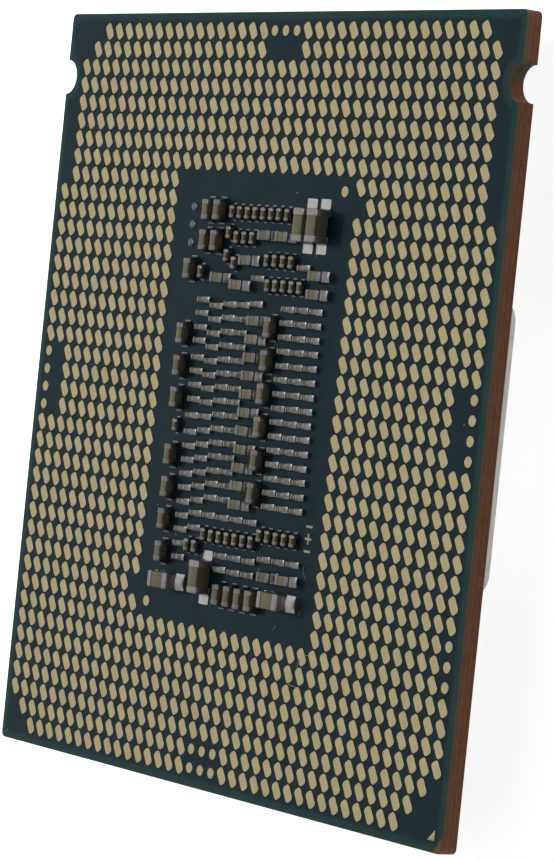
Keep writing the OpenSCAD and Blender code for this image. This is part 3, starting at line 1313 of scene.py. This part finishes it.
@dataclass
class Lint:
    """Stray threads that lie on the land face."""

    radius: float = 0.016
    sides: int = 6
    steps: int = 7
    fibres: tuple[Fibre, ...] = (
        Fibre(6.3, -7.25, -92, 0.62, 55),
        Fibre(6.1, -12.8, -8, 0.64, 4, True),
        Fibre(6.74, -11.55, -112, 0.46, 20, True),
        Fibre(7.1, -11.33, 5, 0.3, 6, True),
        Fibre(10.85, -9.7, -28, 0.26, 5, True),
        Fibre(4.37, -10.48, 48, 0.32, 10),
        Fibre(6.32, -9.53, 60, 0.2, 14),
        Fibre(4.7, 7.2, 12, 0.5, 60),
        Fibre(2.6, -9.83, 4, 0.3, 5),
    )

    def _thread(self, fibre: Fibre) -> BMesh:
        """Make one bent thread from the origin along +X, turning to the left.

        Args:
            fibre: Its length and bend.

        Returns:
            The thread.
        """
        bm = bmesh.new()
        upright = Matrix.Rotation(math.pi / 2, 4, "Y")
        bmesh.ops.create_circle(bm, segments=self.sides, radius=self.radius, matrix=upright)
        sweep = math.radians(fibre.bend)
        bmesh.ops.spin(bm, geom=bm.verts[:] + bm.edges[:], cent=Vector((0, fibre.length / sweep, 0)),
                       axis=Vector((0, 0, 1)), angle=sweep, steps=self.steps)
        bmesh.ops.holes_fill(bm, edges=[e for e in bm.edges if e.is_boundary])
        bmesh.ops.recalc_face_normals(bm, faces=bm.faces[:])
        return bm

    def build(self, frame: Frame, finish: Material) -> None:
        """Lay the threads on the lacquer, or across the lands where they lie there.

        Args:
            frame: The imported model.
            finish: Finish of the threads.
        """
        target = bmesh.new()
        face, lands = frame.box("substrate").high.z, frame.box("oblong_lands").high.z
        for fibre in self.fibres:
            thread = self._thread(fibre)
            height = (lands if fibre.on_lands else face) + self.radius
            place = Matrix.Translation((fibre.x, fibre.y, height))
            place = place @ Matrix.Rotation(math.radians(fibre.heading), 4, "Z")
            bmesh.ops.transform(thread, matrix=place, verts=thread.verts[:])
            Bench.join(thread, target)
        Bench.piece(target, "lint_threads", [finish], Slot.BOARD)


@dataclass
class Studio:
    """Camera at the viewing angle, soft light and a pale floor.

    Places are in millimetres, angles in degrees. The clip and the floor's side are in metres.
    """

    image: tuple[int, int] = (554, 861)
    focal_pixels: float = 4000.0
    sensor: float = 36.0
    clip: Span = (0.01, 10.0)
    eye: Triple = (157.119, 3.528, 113.692)
    look: Triple = (-0.8154, -0.02463, -0.57837)
    up: Triple = (-0.07868, 0.99454, 0.06858)
    key_elevation: float = 35.0
    key_turn: float = 8.0
    key_distance: float = 900.0
    key_side: float = 90.0
    key_power: float = 10.1
    fill: float = 0.28
    glare: Span = (0.3, 0.75)
    glare_side: float = 0.22
    dim: float = 0.45
    lamp: Triple = (0.72, 0.36, 0.59)
    lamp_edge: Span = (18.0, 8.0)
    lamp_power: float = 4.0
    floor_side: float = 4.0
    floor_drop: float = 0.01
    paper: Colour = (0.8, 0.8, 0.8)
    paper_rough: float = 0.9
    paper_glow: float = 0.82

    def camera(self) -> None:
        """Set the camera."""
        data = bpy.data.cameras.new("camera")
        data.sensor_width = self.sensor
        data.lens = self.focal_pixels * self.sensor / max(self.image)
        data.clip_start, data.clip_end = self.clip
        camera = Bench.show("camera", data)
        back = -Vector(self.look).normalized()
        right = Vector(self.up).cross(back).normalized()
        turn = Matrix((right, back.cross(right), back)).transposed().to_4x4()
        camera.matrix_world = Matrix.Translation(Vector(self.eye) * MM) @ turn
        bpy.context.scene.camera = camera

    def light(self, aim: Vector) -> None:
        """Set the key light.

        Args:
            aim: Point in millimetres that it faces.
        """
        rise = math.radians(self.key_elevation)
        turn = math.radians(self.key_turn)
        level = Vector((-math.cos(turn), math.sin(turn), 0)) * math.cos(rise)
        away = level + Vector((0, 0, math.sin(rise)))
        data = bpy.data.lights.new("key", "AREA")
        data.shape = "DISK"
        data.size = self.key_side * MM
        data.energy = self.key_power
        key = Bench.show("key", data)
        key.location = (aim + away * self.key_distance) * MM
        key.rotation_mode = "QUATERNION"
        key.rotation_quaternion = (-away).to_track_quat("-Z", "Y")
        key.visible_camera = False
        key.visible_glossy = False

    def sky(self) -> None:
        """Set the sky."""
        world = bpy.data.worlds.new("sky")
        world.use_nodes = True
        wires = Wiring(world.node_tree)
        background = world.node_tree.nodes["Background"]
        wires.feed(background.inputs["Color"], WHITE)
        wires.feed(background.inputs["Strength"], self._sky_strength(wires))
        bpy.context.scene.world = world

    def _sky_strength(self, wires: Wiring) -> Socket:
        """White where it is seen, a bright arch and a lamp where it is mirrored, and dim as a light.

        Args:
            wires: Wiring of the sky.

        Returns:
            The strength for the ray at hand.
        """
        path = wires.add("LightPath").outputs
        heading = wires.add("TexCoord").outputs["Generated"]
        lamp = {0: heading, 1: Vector(self.lamp).normalized()}
        towards = wires.add("VectorMath", lamp, operation="DOT_PRODUCT").outputs["Value"]
        edge = tuple(math.cos(math.radians(angle)) for angle in self.lamp_edge)
        glint = wires.scale_range(towards, edge, (0.0, self.lamp_power), smooth=True)
        aside = wires.math("ABSOLUTE", wires.math("SUBTRACT", wires.axes(heading)[1], self.glare_side))
        glow = wires.scale_range(aside, self.glare, (1.0, self.dim), smooth=True)
        arch = wires.math("ADD", glow, glint)
        mirrored = wires.math("MAXIMUM", path["Is Glossy Ray"], path["Is Transmission Ray"])
        return wires.blend(path["Is Camera Ray"], wires.blend(mirrored, self.fill, arch), 1.0)

    @staticmethod
    def _seen(wires: Wiring) -> Socket:
        """Tell the rays that show the surroundings: camera, glossy and transmission rays.

        Args:
            wires: Wiring of the floor.

        Returns:
            One for such a ray.
        """
        path = wires.add("LightPath").outputs
        seen = wires.math("MAXIMUM", path["Is Camera Ray"], path["Is Glossy Ray"])
        return wires.math("MAXIMUM", seen, path["Is Transmission Ray"])

    def floor(self) -> None:
        """Lay the pale floor, which keeps the shadow."""
        bm = bmesh.new()
        bmesh.ops.create_grid(bm, x_segments=1, y_segments=1, size=self.floor_side / 2)
        bmesh.ops.translate(bm, vec=Vector((0, 0, -self.floor_drop * MM)), verts=bm.verts[:])
        mesh = Bench.mesh(bm, "floor")
        floor = Bench.show("floor", mesh)
        material, wires, paper = Palette.start("pale_floor")
        wires.feed(paper.inputs["Base Color"], self.paper)
        paper.inputs["Roughness"].default_value = self.paper_rough
        glow = wires.add("Emission", {"Color": WHITE, "Strength": self.paper_glow})
        both = wires.add("AddShader", {0: paper.outputs[0], 1: glow.outputs[0]})
        mixed = wires.add("MixShader", {0: self._seen(wires), 1: paper.outputs[0], 2: both.outputs[0]})
        wires.feed(wires.tree.nodes["Material Output"].inputs["Surface"], mixed.outputs[0])
        mesh.materials.append(material)


def main() -> None:
    """Build the package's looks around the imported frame."""
    logging.basicConfig(level=logging.INFO, format="%(name)s: %(message)s")
    frame = Frame(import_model())
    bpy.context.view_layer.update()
    bpy.context.scene.view_settings.view_transform = "Standard"
    palette = Palette(EffectGroups())

    board = frame.box("substrate")
    studio = Studio()
    studio.camera()
    studio.light(Vector((0, 0, board.high.z)))
    studio.sky()
    studio.floor()

    outline = BoardOutline(half=board.high.x, notch_y=15.5, notch_radius=0.86)
    lacquer = LacquerFinish(outline).build(palette)
    Board().build(frame, lacquer, LaminateFinish(outline, face=board.high.z).build(palette))
    LandField().build(frame, GOLD.build(palette))
    ceramic, tin, solder = (finish.build(palette) for finish in (CERAMIC, TIN, SOLDER))
    for family in CAPACITORS:
        family.build(frame, ceramic, tin, solder)
    SolderDots().build(frame, DOTS.build(palette))
    IndexMarks().build(frame, PRINT.build(palette))
    Lint().build(frame, LINT.build(palette))
    Lid().build(frame, *(finish.build(palette) for finish in (NICKEL, STAMPED, SEALANT)))
    inner = {"die": SILICON, "die_bumps": BUMPS, "underfill": UNDERFILL, "thermal_interface": PASTE}
    for node, finish in inner.items():
        frame.dress(node, finish.build(palette))


if __name__ == "__main__":
    main()
